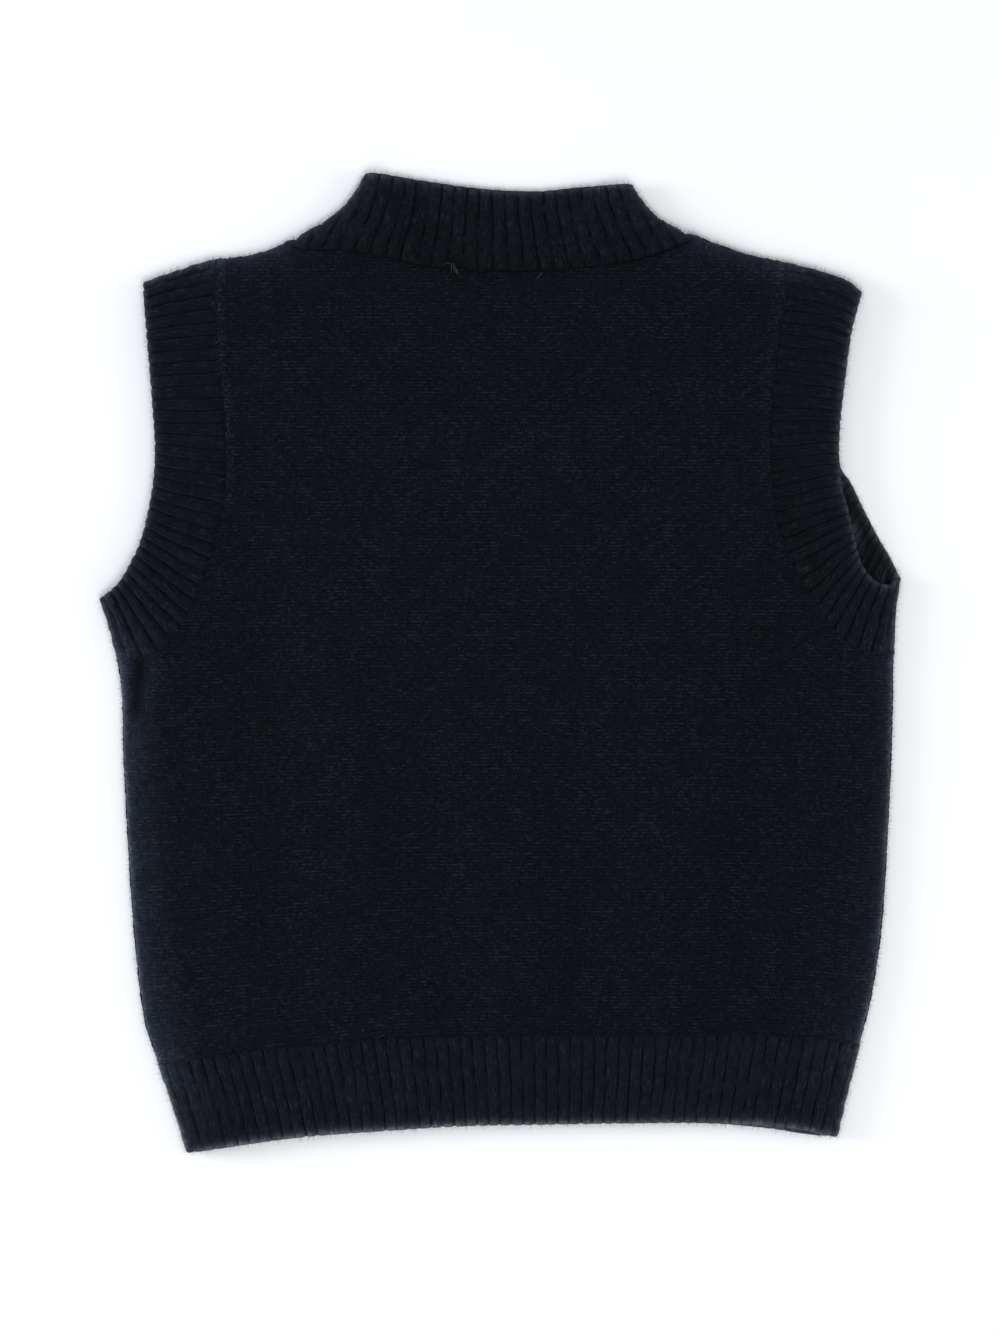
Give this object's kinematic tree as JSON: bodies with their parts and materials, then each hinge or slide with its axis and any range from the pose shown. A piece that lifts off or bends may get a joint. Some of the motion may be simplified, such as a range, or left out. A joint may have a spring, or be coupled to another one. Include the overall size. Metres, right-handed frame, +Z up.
{
  "type": "knitted sweater vest",
  "caption": "Sleeveless knitted pullover laid flat with its back up: plain body panels with a ribbed neckband, ribbed armbands and a ribbed hem.",
  "frame": {"origin": "centre of the bounding box's base, on the surface that the vest lies on", "axes": "+Z up off the surface, +Y towards the neck, +X to the right as seen from above with the back up"},
  "size_m": [0.3532, 0.4317, 0.0089],
  "materials": {
    "plain_knit": "matt plain knit in near-black navy yarn, slightly fuzzy",
    "rib_knit": "matt ribbed knit in near-black navy yarn"
  },
  "bodies": {
    "root": {"back_panel": "plain_knit", "front_panel": "plain_knit", "neckband": "rib_knit", "armband_left": "rib_knit", "armband_right": "rib_knit", "hem_back": "rib_knit", "hem_front": "rib_knit"}
  },
  "joints": []
}
